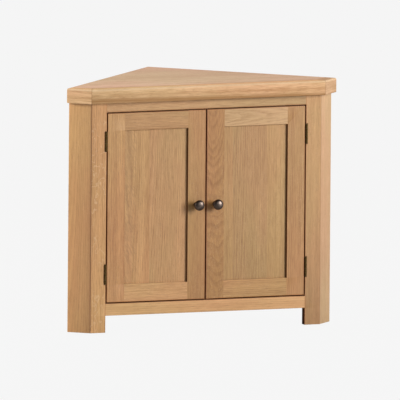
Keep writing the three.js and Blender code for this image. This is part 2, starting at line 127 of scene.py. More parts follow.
def maths(tree, operation, *values, clamp=False):
    return addNode(tree, "Math", dict(enumerate(values)), operation=operation, use_clamp=clamp)[0]


def times(tree, first, second):
    return maths(tree, "MULTIPLY", first, second)


def timesPlus(tree, first, second, added, clamp=False):
    return maths(tree, "MULTIPLY_ADD", first, second, added, clamp=clamp)


def difference(tree, first, second):
    return maths(tree, "ABSOLUTE", maths(tree, "SUBTRACT", first, second))


def vectors(tree, operation, *values):
    made = addNode(tree, "VectorMath", dict(enumerate(values)), operation=operation)
    return made["Value" if operation in ("LENGTH", "DOT_PRODUCT") else "Vector"]


def stretched(tree, vector, by):
    return vectors(tree, "MULTIPLY", vector, by)


def scaled(tree, vector, by):
    return addNode(tree, "VectorMath", {0: vector, "Scale": by}, operation="SCALE")[0]


def parted(tree, vector):
    return addNode(tree, "SeparateXYZ", {0: vector})


def noise(tree, point, scale, detail=2.0, roughness=0.5):
    sockets = {"Vector": point, "Scale": scale, "Detail": detail, "Roughness": roughness}
    return addNode(tree, "TexNoise", sockets)


def lineNoise(tree, place, detail, roughness=0.5):
    sockets = {"W": place, "Scale": 1.0, "Detail": detail, "Roughness": roughness}
    return addNode(tree, "TexNoise", sockets, noise_dimensions="1D")[0]


def remap(tree, value, low, high, toLow=0.0, toHigh=1.0):
    sockets = {"Value": value, "From Min": low, "From Max": high, "To Min": toLow, "To Max": toHigh}
    return addNode(tree, "MapRange", sockets, interpolation_type="SMOOTHSTEP")[0]


def mixColour(tree, share, first, second, blend="MIX"):
    sockets = {0: share, 6: first, 7: second}      # inputs 6 and 7 are the node's two colours
    return addNode(tree, "Mix", sockets, data_type="RGBA", blend_type=blend)[2]


def dimmed(tree, colour, by):
    grey = addNode(tree, "CombineColor", {0: by, 1: by, 2: by})[0]
    return mixColour(tree, 1.0, colour, grey, "MULTIPLY")


def bumped(tree, height, strength, depth):
    sockets = {"Height": height, "Strength": strength, "Distance": depth}
    return addNode(tree, "Bump", sockets)[0]


# Starts a node group; the names of its sockets stand under their kinds. Gives the group, what it is given
# and the node that ends it.
def startGroup(name, inputs, outputs):
    tree = bpy.data.node_groups.new(name, "ShaderNodeTree")
    for way, kinds in (("INPUT", inputs), ("OUTPUT", outputs)):
        for kind, labels in kinds.items():
            for label in labels:
                tree.interface.new_socket(label, in_out=way, socket_type="NodeSocket" + kind)
    return tree, tree.nodes.new("NodeGroupInput").outputs, tree.nodes.new("NodeGroupOutput")


def useGroup(tree, group, sockets):
    return addNode(tree, "Group", sockets, node_tree=group)


maskOnly = {"Float": ["Mask"]}


def startMaterial(name):
    material = bpy.data.materials.new(name)
    material.use_nodes = True
    tree = material.node_tree
    return material, tree, tree.nodes["Principled BSDF"]


# Stage: a pale floor, pale surroundings and soft lamps

stageSetup = {
    "paper": (0.9216, 0.9216, 0.9216, 1), "matt": (0.5, 0.5, 0.5, 1), "floorHalf": 60, "floorOwnLight": 0.99,
    "surroundings": 0.08,
}
lamps = {
    "key": {"azimuthDeg": 39, "elevationDeg": 15, "distance": 7.0, "size": (2.4, 3.4), "watts": 470},
    "front": {"azimuthDeg": 8, "elevationDeg": 16, "distance": 7.0, "size": (3.6, 3.6), "watts": 40},
    "rightEdge": {"azimuthDeg": 96, "elevationDeg": 16, "distance": 3.0, "size": (1.2, 1.2), "watts": 10},
    "leftEdge": {"azimuthDeg": -96, "elevationDeg": 16, "distance": 3.0, "size": (1.2, 1.2), "watts": 86},
    "above": {"azimuthDeg": 180, "elevationDeg": 62, "distance": 2.8, "size": (1.6, 1.6), "watts": 54},
}
lampAim = Vector((0, 0, 0.46))


# Makes a material or the world a mix: the camera sees a share of the second shader, all else the first
def mixForCamera(owner, output, share, *shaders):
    owner.use_nodes = True
    tree = owner.node_tree
    tree.nodes.clear()
    seen = times(tree, addNode(tree, "LightPath")["Is Camera Ray"], share)
    first, second = (addNode(tree, kind, sockets)[0] for kind, sockets in shaders)
    addNode(tree, output, {"Surface": addNode(tree, "MixShader", {0: seen, 1: first, 2: second})[0]})


def makeFloor(setup):
    half = setup["floorHalf"]
    sheet = bpy.data.meshes.new("floor")
    corners = [(-half, -half, 0), (half, -half, 0), (half, half, 0), (-half, half, 0)]
    sheet.from_pydata(corners, [], [(0, 1, 2, 3)])
    addObject("floor", sheet)
    paper = bpy.data.materials.new("paper")
    mixForCamera(paper, "OutputMaterial", setup["floorOwnLight"], ("BsdfDiffuse", {"Color": setup["matt"]}),
                 ("Emission", {"Color": setup["paper"]}))
    sheet.materials.append(paper)


def makeSurroundings(setup):
    world = bpy.data.worlds.new("surroundings")
    bpy.context.scene.world = world
    white = {"Color": (1, 1, 1, 1), "Strength": setup["surroundings"]}
    mixForCamera(world, "OutputWorld", 1.0, ("Background", white), ("Background", {"Color": setup["paper"]}))


def makeLamps():
    for name, lamp in lamps.items():
        light = bpy.data.lights.new(name, "AREA")
        light.shape = "RECTANGLE"
        light.size, light.size_y = lamp["size"]
        light.energy = lamp["watts"]
        towards = compass(lamp["azimuthDeg"], lamp["elevationDeg"])
        holder = addObject(name, light)
        holder.rotation_mode = "QUATERNION"
        holder.rotation_quaternion = towards.to_track_quat("Z", "Y")
        holder.location = lampAim + towards * lamp["distance"]


makeFloor(stageSetup)
makeSurroundings(stageSetup)
makeLamps()
bpy.context.scene.view_settings.view_transform = "Standard"
print("camera and stage: done")


# Oak: the inside of a log, so that every face of a board shows the figure that it would have.
# The log runs along Z, and its rings go round the Z axis.

oakFigure = {
    "waveScale": 6.0, "waveStretch": (1, 1, 0.16), "rippleScale": 42.0, "rippleStretch": (1, 1, 0.9),
    "bandScale": 95.0, "bandDetail": 4.0, "bandRoughness": 0.62, "ringWander": 1.6, "ringWanderScale": 60.0,
    "earlyRise": 0.12, "earlyFall": (0.25, 0.75),
    "fibreStretch": (280, 280, 22), "fibreDetail": 3.0, "fibreRoughness": 0.6,
    "poreStretch": (900, 900, 60), "poreLimits": (0.60, 0.70), "poreEarlyShare": 0.75,
    "rayTurns": 26.0, "rayReach": 160.0, "rayHeight": 90.0, "rayDetail": 1.5, "rayNarrow": 0.035,
    "patchStretch": (24, 24, 7), "patchLimits": (0.40, 0.58),
    "toneScale": 7.0, "toneStretch": (1, 1, 0.28), "toneDetail": 3.0, "tintLimits": (0.36, 0.64),
    "bandShare": 0.7, "earlyShare": 0.25, "fibreShare": 1.35, "toneShare": 0.8, "middleShade": 0.42,
    "poreColour": (0.20, 0.095, 0.035, 1), "rayColour": (0.70, 0.46, 0.25, 1),
    "rosyTint": (1.03, 0.975, 0.98, 1), "oliveTint": (0.975, 1.02, 0.965, 1),
    "roughness": (0.40, 0.58), "rayRough": -0.4,
    "fibreRise": 0.25, "earlyRiseShare": -0.2, "poreRise": -1.0,
}


# The values of a board that the figure takes as they are
figureValues = ["ring", "wander", "ripple", "rays", "raySize", "pores", "contrast"]


def makeOakGroup(oak):
    tree, given, ending = startGroup(
        "oakFigure", {"Vector": ["point"], "Color": ["light", "dark"], "Float": figureValues},
        {"Color": ["Color"], "Float": ["Roughness", "Height"]})
    point = given["point"]

    # the rings sway and ripple a little along the log
    bent = point
    for kind, amount in (("wave", "wander"), ("ripple", "ripple")):
        sway = noise(tree, stretched(tree, point, oak[kind + "Stretch"]), oak[kind + "Scale"])["Color"]
        sway = scaled(tree, vectors(tree, "SUBTRACT", sway, (0.5, 0.5, 0.5)), given[amount])
        bent = vectors(tree, "ADD", bent, sway)
    radius = vectors(tree, "LENGTH", stretched(tree, bent, (1, 1, 0)))

    # rings with a porous early side, and wider bands of lighter and darker years
    bands = times(tree, radius, oak["bandScale"])
    bands = lineNoise(tree, bands, oak["bandDetail"], oak["bandRoughness"])
    uneven = lineNoise(tree, times(tree, radius, oak["ringWanderScale"]), 1.0)
    rings = maths(tree, "DIVIDE", radius, given["ring"])
    part = maths(tree, "FRACT", timesPlus(tree, uneven, oak["ringWander"], rings))
    early = times(tree, remap(tree, part, 0.0, oak["earlyRise"]),
                  remap(tree, part, *oak["earlyFall"], 1.0, 0.0))

    # fibres and open pores, both drawn out along the grain
    fibre = noise(tree, stretched(tree, point, oak["fibreStretch"]), 1.0, oak["fibreDetail"],
                  oak["fibreRoughness"])[0]
    speck = noise(tree, stretched(tree, point, oak["poreStretch"]), 1.0, 1.0)[0]
    pores = times(tree, remap(tree, speck, *oak["poreLimits"]),
                  timesPlus(tree, early, oak["poreEarlyShare"], 1 - oak["poreEarlyShare"]))
    pores = times(tree, pores, given["pores"])

    # rays: thin pale lines where a slow noise crosses its middle, in angle, radius and height
    across, deep, up = parted(tree, bent)
    turn = times(tree, maths(tree, "ARCTAN2", deep, across), oak["rayTurns"])
    reach = times(tree, radius, oak["rayReach"])
    height = times(tree, up, oak["rayHeight"])
    ray = addNode(tree, "CombineXYZ", {0: turn, 1: reach, 2: height})[0]
    ray = scaled(tree, ray, maths(tree, "DIVIDE", 1.0, given["raySize"]))
    crossing = difference(tree, noise(tree, ray, 1.0, oak["rayDetail"])[0], 0.5)
    patch = noise(tree, stretched(tree, point, oak["patchStretch"]), 1.0, 1.0)[0]
    patch = remap(tree, patch, *oak["patchLimits"])
    rays = times(tree, remap(tree, crossing, 0.0, oak["rayNarrow"], 1.0, 0.0),
                 times(tree, patch, given["rays"]))

    # one shade from all of them, then the colours
    slow = noise(tree, stretched(tree, point, oak["toneStretch"]), oak["toneScale"], oak["toneDetail"])
    tone = addNode(tree, "SeparateColor", {0: slow["Color"]})
    shade = times(tree, early, oak["earlyShare"])
    for value, share in ((bands, "bandShare"), (fibre, "fibreShare"), (tone[0], "toneShare")):
        shade = timesPlus(tree, maths(tree, "SUBTRACT", value, 0.5), oak[share], shade)
    shade = timesPlus(tree, shade, given["contrast"], oak["middleShade"], clamp=True)
    tint = remap(tree, tone[1], *oak["tintLimits"])
    tint = mixColour(tree, tint, oak["rosyTint"], oak["oliveTint"])
    colour = mixColour(tree, shade, given["light"], given["dark"])
    colour = mixColour(tree, 1.0, colour, tint, "MULTIPLY")
    colour = mixColour(tree, rays, colour, oak["rayColour"])
    colour = mixColour(tree, pores, colour, oak["poreColour"])
    rough = timesPlus(tree, rays, oak["rayRough"], shade)
    level = timesPlus(tree, fibre, oak["fibreRise"], times(tree, early, oak["earlyRiseShare"]))
    feed(ending, {"Color": colour, "Roughness": remap(tree, rough, 0.0, 1.0, *oak["roughness"]),
                  "Height": timesPlus(tree, pores, oak["poreRise"], level)})
    return tree


# Boards glued edge to edge: each strip takes its own place in the log, its own tone and its own tint.

stripShape = {
    "swayTurns": 2.3, "swayShare": 0.3, "apart": (0.12, 0.1, 2.1),
    "redTint": (1.02, 0.99, 0.96, 1), "greyTint": (0.98, 1.01, 1.03, 1),
}


def makeStripGroup(shape):
    tree, given, ending = startGroup("gluedStrips", {"Vector": ["Point"], "Float": ["Strip width", "Start"]},
                                     {"Vector": ["Point"], "Float": ["Tone", "Tint"]})
    side = maths(tree, "DIVIDE", parted(tree, given["Point"])[0], given["Strip width"])
    across = maths(tree, "ADD", side, given["Start"])
    sway = maths(tree, "SINE", times(tree, across, shape["swayTurns"]))
    number = maths(tree, "FLOOR", timesPlus(tree, sway, shape["swayShare"], across))
    chance = addNode(tree, "TexWhiteNoise", {"W": number}, noise_dimensions="1D")
    apart = stretched(tree, chance["Color"], shape["apart"])
    feed(ending, {"Point": vectors(tree, "ADD", given["Point"], apart), "Tone": chance["Value"],
                  "Tint": addNode(tree, "SeparateColor", {0: chance["Color"]})[1]})
    return tree


# A soft line or band: full on the plane that Normal and Offset give, and gone at Width from it.

def makeLineGroup():
    tree, given, ending = startGroup(
        "softLine", {"Vector": ["Point", "Normal"], "Float": ["Offset", "Width", "Strength"]}, maskOnly)
    along = vectors(tree, "DOT_PRODUCT", given["Point"], given["Normal"])
    away = difference(tree, along, given["Offset"])
    near = remap(tree, away, 0.0, given["Width"], 1.0, 0.0)
    feed(ending, {"Mask": times(tree, near, given["Strength"])})
    return tree


# Leaning strokes: rays cut at a slant, in an upright strip of a board that fades out at its sides.

strokeShape = {
    "alongCount": 55, "acrossCount": 210,     # strokes in a metre, along them and across them
    "limits": (0.44, 0.62), "patchScale": 22.0, "patchLimits": (0.34, 0.54), "fullShare": 0.6,
}


def leaningStrokes(tree, place, strokes, shape):
    lean = math.radians(strokes["leanDeg"])
    along = Vector((math.sin(lean), 0, math.cos(lean))) * shape["alongCount"]
    across = Vector((math.cos(lean), 0, -math.sin(lean))) * shape["acrossCount"]
    sockets = dict(enumerate(vectors(tree, "DOT_PRODUCT", place, way) for way in (along, across)))
    marks = noise(tree, addNode(tree, "CombineXYZ", sockets)[0], 1.0, 1.0)[0]
    patches = noise(tree, place, shape["patchScale"], 1.0)[0]
    away = difference(tree, parted(tree, place)[0], strokes["middle"])
    inside = remap(tree, maths(tree, "DIVIDE", away, strokes["halfWidth"]), shape["fullShare"], 1.0, 1.0, 0.0)
    mask = times(tree, remap(tree, marks, *shape["limits"]), remap(tree, patches, *shape["patchLimits"]))
    return times(tree, times(tree, mask, inside), strokes["strength"])


# Painted shade on the edges: the narrow side and top faces are painted dark as the shade in the gaps and recesses,
# from just behind the front arris to a few millimetres inside the gap. Below the height "Deep below" they are painted
# dark right through to the back, as the shade under the cupboard.

edgeShadeShape = {
    "facing": (0.05, 0.45), "arrisSoft": 0.0003, "reach": (0.0045, 0.0095),
    "belowSoft": 0.004, "addedRoughness": 0.5,
}


def makeEdgeShadeGroup(stain):
    tree, given, ending = startGroup(
        "paintedEdgeShade",
        {"Vector": ["Point", "Normal"], "Float": ["Front", "Sides", "Tops", "Deep below"]}, maskOnly)
    place = parted(tree, given["Point"])
    depth = maths(tree, "SUBTRACT", place[1], given["Front"])
    under = maths(tree, "SUBTRACT", place[2], given["Deep below"])
    under = remap(tree, under, 0.0, stain["belowSoft"], 1.0, 0.0)
    reach = maths(tree, "MAXIMUM", remap(tree, depth, *stain["reach"], 1.0, 0.0), under)
    facing = parted(tree, given["Normal"])
    side = remap(tree, maths(tree, "ABSOLUTE", facing[0]), *stain["facing"])
    side = times(tree, side, given["Sides"])
    top = remap(tree, facing[2], *stain["facing"])
    top = times(tree, top, given["Tops"])
    inside = remap(tree, depth, 0.0, stain["arrisSoft"])
    mask = times(tree, maths(tree, "MAXIMUM", side, top), inside)
    feed(ending, {"Mask": times(tree, mask, reach)})
    return tree


oakGroup = makeOakGroup(oakFigure)
stripGroup = makeStripGroup(stripShape)
lineGroup = makeLineGroup()
edgeShadeGroup = makeEdgeShadeGroup(edgeShadeShape)
# The colours of the marks: the dark one is for joints and for painted shadow lines; the umber one is for strokes, for
# the darker band low on the slab's front and for the painted shadow under the slab; the pale one is for painted
# highlights on arrises; and the last two are for painted shade on the edges in the gaps and recesses, and beside the
# gaps
lineColours = {
    "stain": (0.16, 0.06, 0.02, 1), "umber": (0.30, 0.15, 0.055, 1), "rubbedAndHighlight": (0.86, 0.66, 0.42, 1),
    "edge": (0.150, 0.048, 0.010, 1), "fringe": (0.33, 0.095, 0.008, 1),
}
oakColours = {
    "face": ((0.600, 0.346, 0.150, 1), (0.370, 0.186, 0.067, 1)),
    "rosy": ((0.600, 0.338, 0.153, 1), (0.370, 0.178, 0.070, 1)),
    "pale": ((0.700, 0.440, 0.225, 1), (0.450, 0.250, 0.105, 1)),
    "top": ((0.700, 0.460, 0.290, 1), (0.490, 0.295, 0.170, 1)),
    "inside": ((0.600, 0.400, 0.220, 1), (0.420, 0.250, 0.120, 1)),
}


# Turns the cupboard's frame to a board's: X across its face, Y through its thickness, Z along the grain.
def boardTurn(grain, turnDeg):
    turned = Euler((0, 0, -math.radians(turnDeg))).to_matrix()
    along = Matrix.Identity(3) if grain == "Z" else Matrix(((0, 0, 1), (0, 1, 0), (-1, 0, 0)))
    return along @ turned


# The marks on a board: lines, strokes and edges painted dark as shade. Gives the marked colour and the mask of the
# painted shade.
def markedOak(tree, board, place, normal, colour):
    for tint, *values in board["lines"]:
        sockets = dict(zip(("Normal", "Offset", "Width", "Strength"), values), Point=place)
        colour = mixColour(tree, useGroup(tree, lineGroup, sockets)["Mask"], colour, lineColours[tint])
    for strokes in board["strokes"]:
        mask = leaningStrokes(tree, place, strokes, strokeShape)
        colour = mixColour(tree, mask, colour, lineColours["umber"])
    if not board["paintedEdgeShade"]:
        return colour, None
    sides, tops = board["paintedEdgeShade"]
    sockets = {"Point": place, "Normal": normal, "Front": faceY, "Sides": sides, "Tops": tops,
               "Deep below": board["deepBelow"]}
    stain = useGroup(tree, edgeShadeGroup, sockets)["Mask"]
    return mixColour(tree, stain, colour, lineColours["edge"]), stain


# The oak of one board. Its middle lies at the place "log" in the log, and the log leans by "leanDeg".
def oakFinish(node, board):
    lean = Euler([math.radians(angle) for angle in board["leanDeg"]] + [0]).to_matrix()
    whole = lean @ boardTurn(board["grain"], board["turnDeg"])
    low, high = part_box(node)
    middle = (low + high) / 2
    shift = Vector(board["log"]) - whole @ middle
    light, dark = ([part * share for part, share in zip(tone, (*board["brightness"], 1))]
                   for tone in oakColours[board["colour"]])

    material, tree, shader = startMaterial(node + "_oak")
    coordinates = addNode(tree, "TexCoord")
    place = coordinates["Object"]
    mapping = {"Vector": place, "Location": shift, "Rotation": whole.to_euler()}
    point = addNode(tree, "Mapping", mapping)[0]
    if board["strips"]:
        sockets = {"Point": point, "Strip width": board["strips"], "Start": board["stripStart"]}
        strips = useGroup(tree, stripGroup, sockets)
        point = strips["Point"]
    sockets = {"point": point, "light": light, "dark": dark, **{key: board[key] for key in figureValues}}
    figure = useGroup(tree, oakGroup, sockets)
    colour = figure["Color"]

    if board["strips"]:
        spread = board["stripTone"]
        tint = mixColour(tree, strips["Tint"], stripShape["redTint"], stripShape["greyTint"])
        colour = dimmed(tree, colour, remap(tree, strips["Tone"], 0.0, 1.0, 1 - spread, 1 + spread))
        colour = mixColour(tree, 1.0, colour, tint, "MULTIPLY")
    # Painted light and shade: the oak is painted brighter along a slope, as the light falls off
    if board["paintedLightFade"]:
        slope = Vector(board["paintedLightFade"])
        along = vectors(tree, "DOT_PRODUCT", place, slope)
        colour = dimmed(tree, colour, maths(tree, "ADD", along, 1 - slope.dot(middle)))
    colour, stain = markedOak(tree, board, place, coordinates["Normal"], colour)
    rough, coat = figure["Roughness"], board["coat"]
    if stain:
        rough = timesPlus(tree, stain, edgeShadeShape["addedRoughness"], rough, clamp=True)
        coat = timesPlus(tree, stain, -coat, coat)
    feed(shader, {
        "Base Color": colour, "Roughness": rough, "Coat Weight": coat, "Specular IOR Level": board["gloss"],
        "Coat Roughness": board["coatRoughness"],
        "Normal": bumped(tree, figure["Height"], board["bump"], board["bumpDepth"])})
    return material


# Boards: a copy of each board's own solid, with its open arrises rounded

arrisShape = {"segments": 3, "roundFromDeg": 30, "smoothToDeg": 35, "flatWithinDeg": 0.3}


def finishPiece(piece, body, slot, material):
    piece.data.materials.clear()
    piece.data.materials.append(material)
    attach(piece, body)


def runsAlong(axis, along):
    return abs(along[axis]) > mostly


# An edge's share of the arris radius, by its middle, its direction and its two faces' normals. A rule has the
# ways that faces with rounded arrises look, and the spans of height where a rail meets a stile's side flush.
def arrisShare(rule, middle, along, facing):
    if not rule:
        return 1.0
    looks = any(normal.dot(Vector(way)) > sameWay for normal in facing for way in rule["ways"])
    if not looks or middle.z > rule.get("below", math.inf) - touching:
        return 0.0
    if rule.get("rail"):
        return 1.0 if runsAlong(0, along) else 0.0
    atSide = runsAlong(2, along) and abs(abs(middle.x) - rule.get("side", 0)) < touching
    return 0.0 if atSide and any(low < middle.z < high for low, high in rule["flush"]) else 1.0


# Places a worked mesh as a piece, smooth but for edges sharper than an angle
def placeMesh(name, mesh, work, sharpDeg):
    work.to_mesh(mesh)
    work.free()
    mesh.polygons.foreach_set("use_smooth", np.ones(len(mesh.polygons), bool))
    mesh.set_sharp_from_angle(angle=math.radians(sharpDeg))
    return addObject(name, mesh)


# A merged copy of a node's solid, bevelled. It is cut where a flush span ends, so an arris can end there.
def easedCopy(node, radius, rule=None):
    work = bmesh.new()
    work.from_mesh(nodes[node].data)
    bmesh.ops.remove_doubles(work, verts=work.verts, dist=touching / 10)
    bmesh.ops.dissolve_limit(work, angle_limit=math.radians(arrisShape["flatWithinDeg"]), verts=work.verts,
                             edges=work.edges)
    heights = [height for span in (rule or {}).get("flush", ()) for height in span]
    for height in filter(math.isfinite, heights):
        everything = work.verts[:] + work.edges[:] + work.faces[:]
        bmesh.ops.bisect_plane(work, geom=everything, plane_co=(0, 0, height), plane_no=(0, 0, 1))
    weight = work.edges.layers.float.new("bevel_weight_edge")
    for edge in work.edges:
        if len(edge.link_faces) == 2 and edge.calc_face_angle() > math.radians(arrisShape["roundFromDeg"]):
            start, end = (corner.co for corner in edge.verts)
            edge[weight] = arrisShare(rule, (start + end) / 2, (end - start).normalized(),
                                      [face.normal for face in edge.link_faces])
    name = node + "_shaped"
    piece = placeMesh(name, bpy.data.meshes.new(name), work, arrisShape["smoothToDeg"])
    bevel = piece.modifiers.new("arris", "BEVEL")
    bevel.width = radius
    bevel.segments = arrisShape["segments"]
    bevel.limit_method = "WEIGHT"
    shading = piece.modifiers.new("flat faces", "WEIGHTED_NORMAL")
    shading.keep_sharp = True
    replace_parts(piece, node)
    return piece


# What a board has where nothing else is said. A line is its colour, the direction and the offset of its
# plane, its width and its strength, and a fade is painted light and shade: how much brighter the oak is painted in a
# metre of each axis.
boardDefaults = {
    "slot": "face_oak", "soft": 0.0012, "arrises": None,
    "grain": "Z", "turnDeg": 0, "leanDeg": (0, 0), "colour": "face", "brightness": (1, 1, 1), "paintedLightFade": None,
    "ring": 0.0032, "wander": 0.014, "ripple": 0.0015, "rays": 0.12, "raySize": 1.0, "pores": 0.55,
    "contrast": 1.0, "strips": None, "stripStart": 0.0, "stripTone": 0.06,
    "lines": (), "strokes": (), "paintedEdgeShade": None, "deepBelow": 0.0,
    "coat": 0.12, "coatRoughness": 0.32, "gloss": 0.5, "bump": 0.25, "bumpDepth": 0.0006,
}
insideOak = {"slot": "inside_oak", "colour": "inside", "soft": 0.0005}
slabOak = {"grain": "X", "soft": 0.0004, "coat": 0.0, "gloss": 0.0}
frontArrises = {
    "ways": [(0, -1, 0)], "below": slabLow, "side": openingSide,
    "flush": [(footHigh, openingLow), (openingHigh, math.inf)],
}
railArrises = {"ways": [(0, -1, 0)], "below": slabLow, "rail": True}
returnArrises = {"ways": [(-diagonal, -diagonal, 0), (diagonal, -diagonal, 0)], "below": slabLow, "flush": []}
# The front stiles' inner sides are painted dark as shade, and right through to the back below the foot's height
frontOak = {"arrises": frontArrises, "paintedEdgeShade": (0.95, 0.0), "deepBelow": footHigh}

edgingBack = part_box("top_board")[0].y
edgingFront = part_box("top_front_edging")[0].y
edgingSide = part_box("top_front_edging")[1].x
mitreLean = math.radians(22.5)
arrisHighlightShape = {"inside": 0.002, "width": 0.003, "strength": 0.42}
gapShadeShape = {"width": 0.0040, "strength": 0.62}


# The plane of a mitre: it leans from the front's own direction by half the corner's angle
def mitreLine(sign, cornerX, cornerY, width, strength):
    normal = (sign * math.cos(mitreLean), math.sin(mitreLean), 0)
    return "stain", normal, normal[0] * sign * cornerX + normal[1] * cornerY, width, strength


# Painted highlight: the rounded upper arris of the slab is painted paler, as if it caught the light; a plane that
# faces up and outwards
def arrisHighlight(outX, outY, cornerX, cornerY):
    normal = Vector((outX * diagonal, outY * diagonal, diagonal))
    offset = normal.dot(Vector((cornerX, cornerY, cupboardHigh))) - arrisHighlightShape["inside"]
    return "rubbedAndHighlight", normal, offset, arrisHighlightShape["width"], arrisHighlightShape["strength"]


# Painted shade: the arrises beside the doors' gaps are painted dark red-brown, to deepen the shade of the gaps
def gapShadeFringe(normal, offset):
    return "fringe", normal, offset, gapShadeShape["width"], gapShadeShape["strength"]


leftMitre, rightMitre = (mitreLine(sign, edgingSide, edgingFront, 0.0025, strength)
                         for sign, strength in ((-1, 0.3), (1, 0.2)))
carcassBoards = {
    "left_front_stile": {
        **frontOak, "log": (0.09, 0.16, 0.0), "leanDeg": (0.5, 0.4), "rays": 0.5, "raySize": 2.5,
        "brightness": (1.071, 1.030, 0.897),
        "lines": [mitreLine(-1, faceSide, faceY, 0.003, 0.45), gapShadeFringe((1, 0, 0), -openingSide)]},
    "right_front_stile": {
        **frontOak, "log": (-0.12, 0.11, 0.4), "leanDeg": (0.6, -0.5), "contrast": 0.8,
        "brightness": (0.859, 0.835, 0.745), "paintedLightFade": (0, 0, 0.34),
        "lines": [mitreLine(1, faceSide, faceY, 0.002, 0.2), gapShadeFringe((1, 0, 0), openingSide)]},
    "left_return_board": {
        "arrises": returnArrises, "turnDeg": -45, "log": (0.05, 0.12, 0.2), "leanDeg": (1.2, 0.5),
        "contrast": 0.7, "pores": 0.4, "brightness": (0.984, 0.927, 0.855), "paintedLightFade": (-3.5, 0, 0.15),
        # a band painted dark just below the slab, as the shadow of its overhang
        "lines": [mitreLine(-1, faceSide, faceY, 0.006, 0.45), ("umber", (0, 0, 1), slabLow, 0.015, 0.6)]},
    "right_return_board": {
        "arrises": returnArrises, "turnDeg": 45, "log": (-0.2, 0.1, 0.8), "leanDeg": (0.4, 0.3),
        "contrast": 0.75, "colour": "pale", "brightness": (0.832, 0.843, 0.938), "paintedLightFade": (0, 0, 0.2),
        "lines": [mitreLine(1, faceSide, faceY, 0.003, 0.2)]},
    "bottom_rail": {
        "arrises": railArrises, "grain": "X", "log": (0.06, 0.14, 0.3), "leanDeg": (0.5, 0.4),
        # its top face, which lies under the doors, is painted dark as the shade in the gap
        "contrast": 0.75, "pores": 0.35, "paintedEdgeShade": (0.0, 0.9), "brightness": (1.216, 1.223, 1.206),
        "lines": [gapShadeFringe((0, 0, 1), openingLow)]},
    "top_rail": {
        "arrises": railArrises, "grain": "X", "log": (-0.1, 0.12, 1.3), "leanDeg": (0.4, -0.4),
        "brightness": (0.910, 0.931, 0.890), "paintedLightFade": (-0.2, 0, 0),
        "lines": [gapShadeFringe((0, 0, 1), openingHigh)]},
    "top_front_edging": {
        **slabOak, "log": (0.1, 0.12, 0.4), "leanDeg": (0.5, 0.2), "contrast": 1.3, "pores": 0.5,
        "brightness": (1.265, 1.411, 1.906), "paintedLightFade": (0.1, 0, 2),
        "lines": [("umber", (0.012, 0, 1), slabLow + 0.0045, 0.0145, 0.78),
                  ("stain", (0, 1, 0), edgingBack, 0.006, 0.35),
                  arrisHighlight(0, -1, 0, edgingFront), leftMitre, rightMitre]},
    "top_left_edging": {
        **slabOak, "turnDeg": -45, "log": (0.12, 0.1, 0.9), "brightness": (1.268, 1.385, 1.860),
        "lines": [arrisHighlight(-diagonal, -diagonal, -edgingSide, edgingFront), leftMitre]},
    "top_right_edging": {
        **slabOak, "turnDeg": 45, "log": (0.14, 0.1, 1.9), "brightness": (1.023, 1.104, 1.646),
        "lines": [arrisHighlight(diagonal, -diagonal, edgingSide, edgingFront), rightMitre]},
    "top_board": {
        **slabOak, "slot": "top_oak", "colour": "top", "soft": 0.0003, "log": (0.12, 0.2, 0.7),
        "leanDeg": (0.3, 0.3), "brightness": (0.898, 0.948, 1.073), "paintedLightFade": (-0.1, -0.45, 0),
        "lines": [("stain", (0, 1, 0), edgingBack, 0.004, 0.5)]},
    "rear_post": {**insideOak, "log": (0.1, 0.1, 0.0), "soft": 0.001},
    "left_back_panel": {**insideOak, "turnDeg": 45, "log": (0.1, 0.3, 0.1), "strips": 0.11, "soft": 0.0004},
    "right_back_panel": {**insideOak, "turnDeg": -45, "log": (0.2, 0.3, 0.9), "strips": 0.12, "soft": 0.0004},
    "base_board": {**insideOak, "grain": "X", "log": (0.3, 0.12, 0.1)},
    "shelf": {**insideOak, "grain": "X", "log": (0.1, 0.3, 1.1), "soft": 0.001},
}
battens = {
    "left_base_batten": 45, "left_top_batten": 45, "top_left_packer": 45, "right_base_batten": -45,
    "right_top_batten": -45, "top_right_packer": -45, "front_base_batten": 0, "door_stop_batten": 0,
}
battenOak = {**insideOak, "grain": "X", "soft": 0.0006}
battenLog, battenStep = Vector((0.1, 0.1, 0)), Vector((0.03, 0, 0.37))
for number, (node, turnDeg) in enumerate(battens.items()):
    carcassBoards[node] = {**battenOak, "turnDeg": turnDeg, "log": battenLog + number * battenStep}

for node, own in carcassBoards.items():
    board = {**boardDefaults, **own}
    piece = easedCopy(node, board["soft"], board["arrises"])
    finishPiece(piece, "carcass", board["slot"], oakFinish(node, board))
print("carcass boards:", len(carcassBoards))


# Doors. Painted shadow: each panel is painted dark in a line along the stile at its right, where the recess is in
# shade, and the arris where the doors meet is painted darker still, as the shade of the gap.

def standingShadowLine(stile, width, strength):
    return "stain", (1, 0, 0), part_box(stile)[0].x, width, strength


